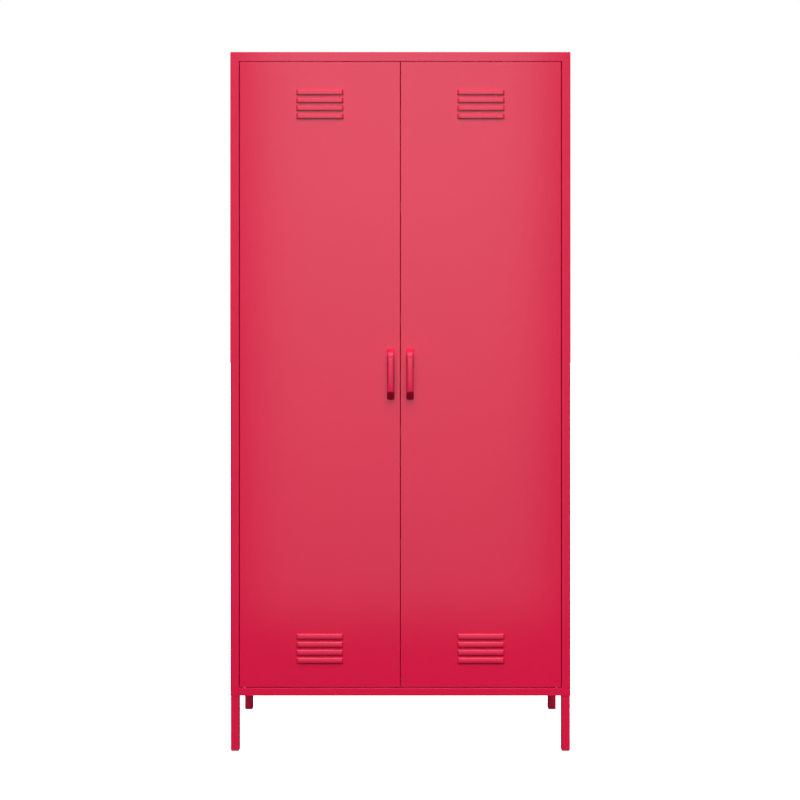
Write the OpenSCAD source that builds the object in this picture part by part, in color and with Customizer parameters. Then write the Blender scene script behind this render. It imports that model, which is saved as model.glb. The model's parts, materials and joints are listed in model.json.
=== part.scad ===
// Two-door sheet steel locker cabinet on four square legs, with louvred doors.
// Millimetres. +X is to the right, +Y to the back, +Z up. The origin is on the floor,
// under the middle of the whole cabinet, handles included.
// The cabinet is symmetric about X = 0: each side's parts are drawn on the right and mirrored.

/* [Body] */
// Height over all, from the floor
cabinet_h = 1850; // [1750:10:2000]
// Width over the top panel
cabinet_w = 900; // [800:10:1000]
// Depth of the steel body, without the handles
body_d = 400; // [350:10:500]
// Clear height under the body
leg_h = 147; // [120:1:180]
// Thickness of the sheet steel
sheet = 1; // [0.8:0.1:1.2]
// Height of the top panel's edge
top_edge_h = 24; // [20:1:30]
// Height of the bottom panel's edge
bottom_edge_h = 21; // [16:1:24]
// Width of the steel upright beside each door
upright_w = 23; // [21:0.5:26]
// How far the top panel stands past each side panel
top_overhang = 0; // [0:0.5:2]
// Depth of the return flange inside the upright
upright_return = 17; // [12:1:20]

/* [Doors] */
// Gap round each door
door_gap = 2; // [2:0.5:4]
// Thickness of a door
door_t = 18; // [18:1:22]
// Hinge axis, in from the door's outer edge
pivot_inset = 12; // [11:0.5:14]
// Hinge axis, back from the door's face
pivot_depth = 7; // [6.5:0.5:8]
// Diameter of the hinge pins
pin_d = 6; // [5:0.5:6]
// Width of the stiffener down the middle of each door
stiffener_w = 60; // [40:5:80]

/* [Louvres] */
// Louvres in each group
louvre_count = 4; // [2:1:5]
// Length of a louvre
louvre_w = 124; // [80:2:160]
// Height of a louvre's hood
louvre_h = 14; // [13:1:18]
// Distance from one louvre to the next
louvre_pitch = 21; // [20:1:26]
// How far a louvre's hood stands out from the door
louvre_reach = 5; // [4:0.5:8]
// From the top of the door to the upper group
upper_louvre_drop = 73; // [50:1:120]
// From the bottom of the door to the lower group
lower_louvre_rise = 65; // [50:1:120]

/* [Handles] */
// Height of a handle
handle_h = 136; // [120:2:160]
// Width of a handle
handle_w = 20; // [14:1:22]
// How far a handle stands out from the door
handle_reach = 30; // [28:1:36]
// Height of the handle's middle above the floor
handle_z = 998; // [900:1:1100]
// Handle's middle, in from the door's free edge
handle_inset = 24.5; // [20:0.5:60]

/* [Legs] */
// Width of the square leg tube
leg_w = 23; // [18:1:24]
// Wall of the leg tube
leg_wall = 1.5; // [1.2:0.1:2]
// Height of the plastic cap under each leg
cap_h = 5; // [4:1:8]

/* [Shelves] */
// Height of a shelf's folded edge
shelf_h = 25; // [20:1:30]
// Distance between the slots that hold the shelves
slot_pitch = 50; // [25:5:50]
// Slots between one shelf and the next
shelf_step = 6; // [5:1:6]

/* [Wall fixing] */
// Distance between the two wall fixing holes
wall_hole_span = 600; // [400:10:640]
// Diameter of the wall fixing holes
wall_hole_d = 6.5; // [5.5:0.5:8]

/* [Hidden] */
$fn = 48;
eps = 0.01;
pin_clearance = 0.05;
moving_gap = 0.3;

// The main planes of the cabinet
front_y = -(body_d + handle_reach) / 2;
face_y = front_y + handle_reach;
back_y = face_y + body_d;
top_seat_z = cabinet_h - top_edge_h;
floor_z = leg_h + bottom_edge_h;
top_x = cabinet_w / 2;
side_x = top_x - top_overhang;
side_in_x = side_x - sheet;
upright_x = side_x - upright_w;
rear_recess = 2;
back_panel_y = back_y - rear_recess - sheet;
rear_flange_y = back_panel_y - sheet;

// The right-hand door
door_x0 = door_gap / 2;
door_x1 = upright_x - door_gap;
door_z0 = floor_z + door_gap;
door_z1 = top_seat_z - door_gap;
door_mid_x = (door_x0 + door_x1) / 2;
door_back_y = face_y + door_t;
door_return = 12;
door_bend = 1;
pivot_x = door_x1 - pivot_inset;
pivot_y = face_y + pivot_depth;

// The spring-loaded upper hinge bolt
bolt_reach = 11;
bolt_top_z = door_z1 + bolt_reach;
bracket_t = 2;
bracket_w = 34;
bracket_d = 13;
bracket_web_t = 1;
bracket_h = 46;
bracket_upper_z = door_z1 - sheet - 4;
bracket_lower_z = bracket_upper_z - bracket_h;
bolt_tail = 16;
bolt_l = bolt_top_z - bracket_lower_z + bolt_tail;
collar_d = 9;
collar_h = 2;
collar_z = bracket_upper_z - bracket_t - collar_h - moving_gap;
knob_d = 11;
knob_h = 12;
spring_wire = 0.9;
spring_d = 8.4;
spring_turns = 8;

// The lower hinge
hinge_plate_t = 3;
lower_pin_rise = 14;
washer_d = 9;

// Fasteners: thread diameter, head diameter and head height
small_screw = [3.9, 7, 2];
carcass_screw = [4, 8, 2.5];
leg_screw = [6, 11, 3];
handle_screw = [4, 8, 2.5];
catch_screw = [3, 5.6, 2];

// Return flanges of the folded sheet parts
top_front_return = 44;
top_side_return = 24;
shelf_return = 12;
flange_w = 20;

// Shelves and their supports
shelf_count = 4;
shelf_gap = 2;
shelf_rear_gap = 6;
strip_w = 20;
strip_d = 8;
strip_t = 1.2;
strip_z0 = floor_z + 34;
strip_z1 = top_seat_z - 26;
slot_w = 12;
slot_h = 4;
first_slot_z = strip_z0 + 25;
slot_count = floor((strip_z1 - first_slot_z - 10) / slot_pitch);
strip_ys = [face_y + 65, back_y - 65];
shelf_x = side_in_x - strip_d - shelf_gap;
shelf_front_y = face_y + 40;
shelf_back_y = rear_flange_y - shelf_rear_gap;
clip_w = 11;
clip_t = 2;
clip_ledge = 13;
clip_play = 0.5;

// Places of the fasteners
edge_screw_x = side_x - 11;
leg_plate_t = 2;
leg_plate_l = 70;
leg_bolt_offsets = [36, 58];
leg_bolt_x = side_in_x - 10;
carcass_top_ys = [-0.3, -0.1, 0.1, 0.3] * body_d;
carcass_floor_ys = [-0.1, 0.1] * body_d;
back_screw_rows = 7;
joint_strip_w = 40;
joint_screw_x = 12;
anchor_z = top_seat_z - 40;
anchor_w = 50;
anchor_t = 2;

// The magnetic catches
catch_w = 64;
catch_d = 18;
catch_h = 16;
catch_screw_x = 23;
catch_front_y = door_back_y + moving_gap;
catch_recess = 1;
magnet_x = 9;
magnet_w = 10;
magnet_z = 3;

// The handles' side outline
handle_slope_bottom = 23;
handle_slope_top = 15;
handle_grip_t = 10;
handle_foot = 20;
handle_screw_inset = 11;

// Colours
paint = "#cf1c43";
zinc = "#c9ccd1";
plastic = "#b3153a";
dark = "#33363b";

// ---- Helpers ----

// A block given by its lowest and highest corners
module block(low, high) {
  translate(low) cube(high - low);
}

// The same parts again on the left
module mirrored() {
  mirror([1, 0, 0]) children();
}

module both_sides() {
  children();
  mirrored() children();
}

// A round rod along +Z from a point
module rod(at, d, h) {
  translate(at) cylinder(d = d, h = h);
}

// A screw pointing along +Z from the underside of its head; size = [thread, head, head height]
module screw(size, length) {
  cylinder(d = size[0], h = length);
  translate([0, 0, -size[2]]) rotate_extrude() {
    polygon([[0, size[2]], [0, 0], [size[1] * 0.3, 0], [size[1] / 2, size[2] * 0.6],
             [size[1] / 2, size[2]]]);
  }
}

// A shallow folded tray, open side down: flat top, edges, and returns = [front, side, rear]
module folded_tray(low, high, returns) {
  difference() {
    block(low, high);
    block(low + [sheet, sheet, sheet], high - [sheet, sheet, sheet]);
    block([low[0] + returns[1], low[1] + returns[0], low[2] - 1],
          [high[0] - returns[1], high[1] - returns[2], low[2] + 2 * sheet]);
  }
}

// ---- Carcass ----

module top_panel() color(paint) {
  difference() {
    folded_tray([-top_x, face_y, top_seat_z], [top_x, back_y, cabinet_h],
                [top_front_return, top_side_return, top_side_return]);
    both_sides() {
      rod([pivot_x, pivot_y, top_seat_z - 1], pin_d + 2 * pin_clearance, sheet + 2);
      for (y = carcass_top_ys)
        rod([edge_screw_x, y, top_seat_z - 1], carcass_screw[0], sheet + 2);
    }
    for (x = [-1, 1] * catch_screw_x)
      rod([x, catch_mid_y(), top_seat_z - 1], catch_screw[0], sheet + 2);
  }
  both_sides() for (y = carcass_top_ys) clinch_nut([edge_screw_x, y, top_seat_z + sheet]);
}

// A pressed-in nut standing on a sheet, its thread going on up
module clinch_nut(at) {
  difference() {
    rod(at, carcass_screw[0] + 4, 5);
    rod(at - [0, 0, 1], carcass_screw[0], 7);
  }
}

// The right-hand side panel: outer skin with flanges folded in on every edge
module side_shell() {
  difference() {
    union() {
      block([side_in_x, face_y, leg_h], [side_x, back_y - rear_recess, top_seat_z]);
      block([upright_x, face_y, leg_h], [side_x, face_y + sheet, top_seat_z]);
      block([upright_x, face_y, floor_z],
            [upright_x + sheet, face_y + upright_return, top_seat_z]);
      block([side_in_x - flange_w, rear_flange_y, leg_h], [side_x, back_panel_y, top_seat_z]);
      block([upright_x, face_y, top_seat_z - sheet], [side_x, back_panel_y, top_seat_z]);
      block([upright_x, face_y, floor_z - 2 * sheet], [side_x, back_panel_y, floor_z - sheet]);
    }
    for (y = carcass_top_ys)
      rod([edge_screw_x, y, top_seat_z - 3], carcass_screw[0] + 0.5, 6);
    for (y = carcass_floor_ys)
      rod([edge_screw_x, y, floor_z - 5], carcass_screw[0], 6);
    for (y = leg_bolt_ys())
      rod([leg_bolt_x, y, floor_z - 5], leg_screw[0] + 0.5, 6);
    for (z = back_screw_zs())
      translate([edge_screw_x, back_y, z]) rotate([90, 0, 0]) cylinder(d = small_screw[0], h = 10);
  }
}

module left_side_panel() color(paint) mirrored() side_shell();
module right_side_panel() color(paint) side_shell();

// Right-hand half of the back, fixed from behind to the side and to the middle joint strip
module back_shell() {
  difference() {
    block([0, back_panel_y, leg_h + sheet],
          [side_x - sheet, back_y - rear_recess, top_seat_z - moving_gap]);
    for (z = back_screw_zs())
      for (x = [joint_screw_x, edge_screw_x])
        translate([x, back_y, z]) rotate([90, 0, 0]) cylinder(d = small_screw[0], h = 10);
    translate([wall_hole_span / 2, back_y, anchor_z])
      rotate([90, 0, 0]) cylinder(d = wall_hole_d, h = 10);
  }
}

module left_back_panel() color(paint) mirrored() back_shell();
module right_back_panel() color(paint) back_shell();

module back_joint_strip() color(paint) difference() {
  block([-joint_strip_w / 2, rear_flange_y, floor_z + sheet],
        [joint_strip_w / 2, back_panel_y, top_seat_z - sheet]);
  both_sides() for (z = back_screw_zs())
    translate([joint_screw_x, back_y, z]) rotate([90, 0, 0])
      cylinder(d = small_screw[0], h = 10);
}

// The floor of the cabinet: the flat with a folded front edge and a rear edge
module bottom_panel() color(paint) difference() {
  union() {
    block([-side_in_x, face_y + sheet, floor_z - sheet], [side_in_x, rear_flange_y, floor_z]);
    block([-upright_x, face_y, leg_h], [upright_x, face_y + sheet, floor_z]);
    block([-upright_x + leg_w, face_y, leg_h],
          [upright_x - leg_w, face_y + upright_return, leg_h + sheet]);
    block([leg_w - side_in_x, rear_flange_y - sheet, leg_h],
          [side_in_x - leg_w, rear_flange_y, floor_z]);
  }
  both_sides() {
    rod([pivot_x, pivot_y, floor_z - 5], pin_d, 10);
    for (y = carcass_floor_ys)
      rod([edge_screw_x, y, floor_z - 5], carcass_screw[0] + 0.5, 10);
    for (y = leg_bolt_ys())
      rod([leg_bolt_x, y, floor_z - 5], leg_screw[0] + 0.5, 10);
  }
  for (x = [-1, 1] * catch_screw_x)
    rod([x, catch_mid_y(), floor_z - 5], catch_screw[0], 10);
}

// Heights of the screws down the back
function back_screw_zs() = [for (i = [0 : back_screw_rows - 1])
  floor_z + 60 + i * (top_seat_z - floor_z - 120) / (back_screw_rows - 1)];

// Screws that join the top and the bottom panels to the sides
module carcass_screws() color(zinc) both_sides() {
  for (y = carcass_top_ys)
    translate([edge_screw_x, y, top_seat_z - sheet]) screw(carcass_screw, 7);
  for (y = carcass_floor_ys)
    translate([edge_screw_x, y, floor_z]) mirror([0, 0, 1]) screw(carcass_screw, 7);
}

module back_screws() color(zinc) both_sides()
  for (z = back_screw_zs())
    for (x = [joint_screw_x, edge_screw_x])
      translate([x, back_y - rear_recess, z]) rotate([90, 0, 0]) screw(small_screw, 6);

module wall_anchor_plates() color(zinc) both_sides() difference() {
  block([wall_hole_span / 2 - anchor_w / 2, back_panel_y - anchor_t, anchor_z - anchor_w / 2],
        [wall_hole_span / 2 + anchor_w / 2, back_panel_y, anchor_z + anchor_w / 2]);
  translate([wall_hole_span / 2, back_y, anchor_z])
    rotate([90, 0, 0]) cylinder(d = wall_hole_d, h = 20);
}

// ---- Legs ----

// Places of the bolts that hold the legs, front and rear
function leg_bolt_ys() = concat([for (d = leg_bolt_offsets) face_y + sheet + d],
                                [for (d = leg_bolt_offsets) rear_flange_y - d]);

// A rounded square bar along +Z
module square_bar(w, h, r) {
  linear_extrude(h) difference() {
    square([w, w]);
    for (q = [0 : 3])
      translate([w / 2, w / 2]) rotate(q * 90) translate([-w / 2, -w / 2]) difference() {
        square([r, r]);
        translate([r, r]) circle(r = r);
      }
  }
}

// Front right leg: a tube open at the bottom, welded to a plate that bolts under the floor
module leg_shell() {
  plate_z = floor_z - 2 * sheet - leg_plate_t;
  translate([side_in_x - leg_w, face_y + sheet, cap_h]) difference() {
    square_bar(leg_w, plate_z - cap_h, 3);
    translate([leg_wall, leg_wall, -1]) square_bar(leg_w - 2 * leg_wall, plate_z - cap_h + 2, 1.5);
  }
  difference() {
    union() {
      block([side_in_x - leg_w, face_y + sheet, plate_z],
            [side_in_x, face_y + sheet + leg_plate_l, plate_z + leg_plate_t]);
      for (d = leg_bolt_offsets)
        rod([leg_bolt_x, face_y + sheet + d, plate_z - 5], leg_screw[0] + 5, 5);
    }
    for (d = leg_bolt_offsets)
      rod([leg_bolt_x, face_y + sheet + d, plate_z - 6], leg_screw[0], 12);
  }
}

// The cap pushed into the open end of a leg tube
module leg_cap_shell() {
  inner = leg_w - 2 * leg_wall;
  translate([side_in_x - leg_w, face_y + sheet, 0]) square_bar(leg_w, cap_h, 3);
  translate([side_in_x - leg_w + leg_wall, face_y + sheet + leg_wall, cap_h])
    square_bar(inner, 12, 1.5);
}

// The same leg at the back: mirrored about the middle of the space between the two flanges
module at_rear() {
  translate([0, face_y + sheet + rear_flange_y, 0]) mirror([0, 1, 0]) children();
}

module front_right_leg() color(paint) leg_shell();
module front_left_leg() color(paint) mirrored() leg_shell();
module rear_right_leg() color(paint) at_rear() leg_shell();
module rear_left_leg() color(paint) mirrored() at_rear() leg_shell();
module front_right_leg_cap() color(plastic) leg_cap_shell();
module front_left_leg_cap() color(plastic) mirrored() leg_cap_shell();
module rear_right_leg_cap() color(plastic) at_rear() leg_cap_shell();
module rear_left_leg_cap() color(plastic) mirrored() at_rear() leg_cap_shell();

module leg_bolts() color(zinc) both_sides() for (y = leg_bolt_ys())
  translate([leg_bolt_x, y, floor_z]) mirror([0, 0, 1]) screw(leg_screw, 10);

// ---- Shelves ----

// A slotted channel on the inside of the right-hand side panel, centred on y
module shelf_strip(y) difference() {
  block([side_in_x - strip_d, y - strip_w / 2, strip_z0], [side_in_x, y + strip_w / 2, strip_z1]);
  block([side_in_x - strip_d + strip_t, y - strip_w / 2 + strip_t, strip_z0 - 1],
        [side_in_x + 1, y + strip_w / 2 - strip_t, strip_z1 + 1]);
  for (i = [0 : slot_count])
    block([side_in_x - strip_d - 1, y - slot_w / 2, first_slot_z + i * slot_pitch],
          [side_in_x - strip_d + 2 * strip_t, y + slot_w / 2,
           first_slot_z + i * slot_pitch + slot_h]);
}

module left_front_shelf_strip() color(paint) mirrored() shelf_strip(strip_ys[0]);
module left_rear_shelf_strip() color(paint) mirrored() shelf_strip(strip_ys[1]);
module right_front_shelf_strip() color(paint) shelf_strip(strip_ys[0]);
module right_rear_shelf_strip() color(paint) shelf_strip(strip_ys[1]);

// Underside of shelf i, counted from 1 at the bottom: the top of its clips' ledges
function shelf_z(i) = first_slot_z + i * shelf_step * slot_pitch + clip_play + clip_t;

module shelf(i)
  folded_tray([-shelf_x, shelf_front_y, shelf_z(i)],
              [shelf_x, shelf_back_y, shelf_z(i) + shelf_h],
              [shelf_return, shelf_return, shelf_return]);

module shelf_1() color(paint) shelf(1);
module shelf_2() color(paint) shelf(2);
module shelf_3() color(paint) shelf(3);
module shelf_4() color(paint) shelf(4);

// A bent clip: a ledge under the shelf, level with its tongue through the slot
module shelf_clip(y, z) {
  strip_face = side_in_x - strip_d;
  translate([0, y + clip_w / 2, z]) rotate([90, 0, 0]) linear_extrude(clip_w) polygon([
    [strip_face - clip_ledge, 0], [strip_face - clip_ledge, -clip_t],
    [strip_face - clip_t, -clip_t], [strip_face - clip_t, -slot_pitch / 3],
    [strip_face, -slot_pitch / 3], [strip_face, -clip_t], [strip_face + strip_t + clip_t, -clip_t],
    [strip_face + strip_t + clip_t, 0]]);
}

module shelf_clips() color(zinc) both_sides()
  for (i = [1 : shelf_count])
    for (y = strip_ys)
      shelf_clip(y, shelf_z(i));

// ---- Magnetic catches ----

function catch_mid_y() = catch_front_y + catch_recess + catch_d / 2;

// A magnet for one door, its pole face to the front
module magnet()
  block([magnet_x - magnet_w / 2, catch_front_y, magnet_z],
        [magnet_x + magnet_w / 2, catch_front_y + magnet_w, magnet_z + magnet_w]);

// One catch body for both doors, seated on z = 0 and standing up, pocketed for its magnets
module catch_body() difference() {
  block([-catch_w / 2, catch_front_y + catch_recess, 0],
        [catch_w / 2, catch_front_y + catch_recess + catch_d, catch_h]);
  both_sides() {
    magnet();
    rod([catch_screw_x, catch_mid_y(), -1], catch_screw[0] + 0.4, catch_h + 2);
  }
}

module catch_at_top() {
  translate([0, 0, top_seat_z]) mirror([0, 0, 1]) children();
}

module catch_at_bottom() {
  translate([0, 0, floor_z]) children();
}

module top_catch() color(dark) catch_at_top() catch_body();
module bottom_catch() color(dark) catch_at_bottom() catch_body();

module catch_magnets() color(zinc) {
  catch_at_top() both_sides() magnet();
  catch_at_bottom() both_sides() magnet();
}

module catch_screw_pair() both_sides()
  translate([catch_screw_x, catch_mid_y(), catch_h]) mirror([0, 0, 1])
    screw(catch_screw, catch_h + 5);

module catch_screws() color(zinc) {
  catch_at_top() catch_screw_pair();
  catch_at_bottom() catch_screw_pair();
}

// ---- Lower hinges ----

// A pin riveted up through the floor, its head below
module lower_pin() {
  rod([pivot_x, pivot_y, floor_z - sheet], pin_d, sheet + lower_pin_rise);
  rod([pivot_x, pivot_y, floor_z - sheet - 2], pin_d + 4, 2);
}

module right_bottom_hinge_pin() color(paint) lower_pin();
module left_bottom_hinge_pin() color(paint) mirrored() lower_pin();

module washer() difference() {
  rod([pivot_x, pivot_y, floor_z], washer_d, door_gap - moving_gap);
  rod([pivot_x, pivot_y, floor_z - 1], pin_d + 2 * pin_clearance, door_gap + 2);
}

module right_hinge_washer() color("white") washer();
module left_hinge_washer() color("white") mirrored() washer();

// The bored plate that carries the door on the lower pin
module hinge_plate() difference() {
  union() {
    block([door_x1 - 46, face_y + sheet, door_z0 + sheet],
          [door_x1 - sheet, door_back_y - sheet, door_z0 + sheet + hinge_plate_t]);
    block([door_x1 - sheet - 2, face_y + sheet, door_z0 + sheet],
          [door_x1 - sheet, door_back_y - sheet, door_z0 + 40]);
  }
  rod([pivot_x, pivot_y, door_z0], pin_d + 2 * pin_clearance, 10);
}

module right_lower_hinge_plate() color(zinc) hinge_plate();
module left_lower_hinge_plate() color(zinc) mirrored() hinge_plate();

// ---- Doors ----

// Heights of the louvres' lower lips
function louvre_zs() = concat(
  [for (i = [0 : louvre_count - 1]) door_z1 - upper_louvre_drop - louvre_h - i * louvre_pitch],
  [for (i = [0 : louvre_count - 1]) door_z0 + lower_louvre_rise + i * louvre_pitch]);

// Side outline of a louvre hood, from its lip up, shrunk inwards by t
module hood_outline(t) {
  reach = louvre_reach - t;
  bend = louvre_h * 0.35;
  polygon(concat(
    [[sheet, 0], [-reach, 0]],
    [for (a = [0 : 15 : 90])
      [-reach * cos(a), louvre_h - t - bend + bend * sin(a)]],
    [[sheet, louvre_h - t]]));
}

// One louvre: a hood pressed out of the door, open below
module louvre_hood(z) {
  translate([door_mid_x, face_y, z]) rotate([90, 0, 90]) difference() {
    translate([0, 0, -louvre_w / 2]) linear_extrude(louvre_w) hood_outline(0);
    translate([0, -eps, -louvre_w / 2 + sheet]) linear_extrude(louvre_w - 2 * sheet)
      hood_outline(sheet);
  }
}

// What the bend beside the hinge takes off the door's front corner, so that it swings clear
module hinge_edge_cut() {
  translate([door_x1 - door_bend, face_y + door_bend, door_z0 - 1]) difference() {
    translate([0, -door_bend - 1, 0])
      cube([door_bend + 1, door_bend + 1, door_z1 - door_z0 + 2]);
    translate([0, 0, -1]) cylinder(r = door_bend, h = door_z1 - door_z0 + 4);
  }
}

// The right-hand door: a pan with flanges and returns, louvred, bored for its hinges and handle
module door_shell() {
  difference() {
    block([door_x0, face_y, door_z0], [door_x1, door_back_y, door_z1]);
    hinge_edge_cut();
    block([door_x0 + sheet, face_y + sheet, door_z0 + sheet],
          [door_x1 - sheet, door_back_y - sheet, door_z1 - sheet]);
    block([door_x0 + door_return, door_back_y - 2 * sheet, door_z0 + door_return],
          [door_x1 - sheet, door_back_y + 1, door_z1 - door_return]);
    for (z = louvre_zs())
      block([door_mid_x - louvre_w / 2 + sheet, face_y - 1, z],
            [door_mid_x + louvre_w / 2 - sheet, face_y + 2 * sheet, z + louvre_h - sheet]);
    rod([pivot_x, pivot_y, door_z0 - 1], pin_d + 2 * pin_clearance, 3);
    rod([pivot_x, pivot_y, door_z1 - 2], pin_d + 2 * pin_clearance, 3);
    for (z = handle_screw_zs())
      translate([handle_x(), face_y - 1, z]) rotate([-90, 0, 0])
        cylinder(d = handle_screw[0] + 0.5, h = 3);
  }
  for (z = louvre_zs())
    louvre_hood(z);
}

module right_door_panel() color(paint) door_shell();
module left_door_panel() color(paint) mirrored() door_shell();

// A hat channel welded down the middle of the door, between the two louvre groups
module stiffener() {
  top_z = door_z1 - upper_louvre_drop - louvre_count * louvre_pitch - 20;
  bottom_z = door_z0 + lower_louvre_rise + louvre_count * louvre_pitch + 20;
  depth = 12;
  rise = stiffener_w / 4;
  translate([door_mid_x, face_y + sheet, bottom_z]) linear_extrude(top_z - bottom_z)
    polygon([[-stiffener_w / 2, 0], [-stiffener_w / 2, sheet], [-rise, sheet],
             [-rise, depth], [rise, depth], [rise, sheet], [stiffener_w / 2, sheet],
             [stiffener_w / 2, 0], [rise - sheet, 0], [rise - sheet, depth - sheet],
             [sheet - rise, depth - sheet], [sheet - rise, 0]]);
}

module right_door_stiffener() color(paint) stiffener();
module left_door_stiffener() color(paint) mirrored() stiffener();

// ---- Upper hinge: a spring bolt in a bracket inside the door ----

module bolt_bracket() difference() {
  x0 = door_x1 - sheet - bracket_w;
  x1 = door_x1 - sheet;
  y0 = face_y + sheet;
  union() {
    for (z = [bracket_lower_z, bracket_upper_z])
      block([x0, y0, z - bracket_t], [x1, y0 + bracket_d, z]);
    block([x0, y0, bracket_lower_z - bracket_t], [x1, y0 + bracket_web_t, bracket_upper_z]);
  }
  rod([pivot_x, pivot_y, bracket_lower_z - 5], pin_d + 2 * pin_clearance, bracket_h + 10);
}

module right_bolt_bracket() color(zinc) bolt_bracket();
module left_bolt_bracket() color(zinc) mirrored() bolt_bracket();

module hinge_bolt() {
  rod([pivot_x, pivot_y, bolt_top_z - bolt_l], pin_d, bolt_l - 1);
  translate([pivot_x, pivot_y, bolt_top_z - 1]) cylinder(d1 = pin_d, d2 = pin_d - 2, h = 1);
  rod([pivot_x, pivot_y, collar_z], collar_d, collar_h);
}

module right_hinge_bolt() color(paint) hinge_bolt();
module left_hinge_bolt() color(paint) mirrored() hinge_bolt();

// The finger knob pressed on the lower end of the bolt
module bolt_knob() difference() {
  translate([pivot_x, pivot_y, bolt_top_z - bolt_l - 2]) rotate_extrude()
    polygon([[0, 0], [knob_d / 2, 0], [knob_d / 2, 4], [knob_d / 2 - 1, 5],
             [knob_d / 2 - 1, knob_h - 2], [knob_d / 2, knob_h - 1], [knob_d / 2, knob_h],
             [0, knob_h]]);
  rod([pivot_x, pivot_y, bolt_top_z - bolt_l], pin_d, knob_h + 1);
}

module right_bolt_knob() color(dark) bolt_knob();
module left_bolt_knob() color(dark) mirrored() bolt_knob();

// A round wire swept along a helix between the bracket's lower leg and the bolt's collar
module bolt_spring() {
  sides = 8;
  per_turn = 12;
  gap = 0.05;
  low = bracket_lower_z + spring_wire / 2 + gap;
  height = collar_z - spring_wire / 2 - gap - low;
  steps = spring_turns * per_turn;
  points = [for (i = [0 : steps]) for (k = [0 : sides - 1])
    let (a = 360 * i / per_turn, b = 360 * k / sides,
         r = (spring_d - spring_wire) / 2 + spring_wire / 2 * cos(b))
    [r * cos(a), r * sin(a), height * i / steps + spring_wire / 2 * sin(b)]];
  wall = [for (i = [0 : steps - 1]) for (k = [0 : sides - 1])
    let (n = (k + 1) % sides)
    [i * sides + k, i * sides + n, (i + 1) * sides + n, (i + 1) * sides + k]];
  ends = [[for (k = [sides - 1 : -1 : 0]) k], [for (k = [0 : sides - 1]) steps * sides + k]];
  translate([pivot_x, pivot_y, low]) polyhedron(points, concat(wall, ends), convexity = 8);
}

module right_bolt_spring() color(zinc) bolt_spring();
module left_bolt_spring() color(zinc) mirrored() bolt_spring();

// ---- Handles ----

function handle_x() = door_x0 + handle_inset;
function handle_screw_zs() = [for (s = [-1, 1]) handle_z + s * (handle_h / 2 - handle_screw_inset)];

// Side outline of a handle: [distance out from the door, height above its lower end]
module handle_outline() {
  difference() {
    polygon([[0, 0], [handle_reach - 5, handle_slope_bottom - 5],
             [handle_reach, handle_slope_bottom],
             [handle_reach, handle_h - handle_slope_top],
             [handle_reach - 5, handle_h - handle_slope_top + 6], [0, handle_h]]);
    polygon([[-1, handle_foot + 1], [0, handle_foot],
             [handle_reach - handle_grip_t - 4, handle_foot + 6],
             [handle_reach - handle_grip_t, handle_foot + 12],
             [handle_reach - handle_grip_t, handle_h - handle_foot - 12],
             [handle_reach - handle_grip_t - 4, handle_h - handle_foot - 6],
             [0, handle_h - handle_foot], [-1, handle_h - handle_foot - 1]]);
  }
}

// A moulded pull handle, its outline facing sideways, with blind holes for two screws
module handle_body() difference() {
  translate([handle_x() - handle_w / 2, face_y, handle_z - handle_h / 2])
    rotate([90, 0, 90]) linear_extrude(handle_w) mirror([1, 0]) handle_outline();
  for (z = handle_screw_zs())
    translate([handle_x(), face_y + 1, z]) rotate([90, 0, 0])
      cylinder(d = handle_screw[0], h = 9);
}

module right_handle() color(paint) handle_body();
module left_handle() color(paint) mirrored() handle_body();

module handle_screw_pair() for (z = handle_screw_zs())
  translate([handle_x(), face_y + sheet, z]) rotate([90, 0, 0]) screw(handle_screw, 8);

module right_handle_screws() color(zinc) handle_screw_pair();
module left_handle_screws() color(zinc) mirrored() handle_screw_pair();

// ---- Assembly ----

top_panel();
left_side_panel();
right_side_panel();
left_back_panel();
right_back_panel();
back_joint_strip();
bottom_panel();
left_front_shelf_strip();
left_rear_shelf_strip();
right_front_shelf_strip();
right_rear_shelf_strip();
shelf_1();
shelf_2();
shelf_3();
shelf_4();
shelf_clips();
front_left_leg();
front_right_leg();
rear_left_leg();
rear_right_leg();
front_left_leg_cap();
front_right_leg_cap();
rear_left_leg_cap();
rear_right_leg_cap();
leg_bolts();
carcass_screws();
back_screws();
top_catch();
bottom_catch();
catch_magnets();
catch_screws();
left_bottom_hinge_pin();
right_bottom_hinge_pin();
left_hinge_washer();
right_hinge_washer();
wall_anchor_plates();
left_door_panel();
right_door_panel();
left_door_stiffener();
right_door_stiffener();
left_lower_hinge_plate();
right_lower_hinge_plate();
left_bolt_bracket();
right_bolt_bracket();
left_hinge_bolt();
right_hinge_bolt();
left_bolt_spring();
right_bolt_spring();
left_bolt_knob();
right_bolt_knob();
left_handle();
right_handle();
left_handle_screws();
right_handle_screws();
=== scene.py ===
import json
import math

import bmesh
import bpy
from mathutils import Matrix, Vector


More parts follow.
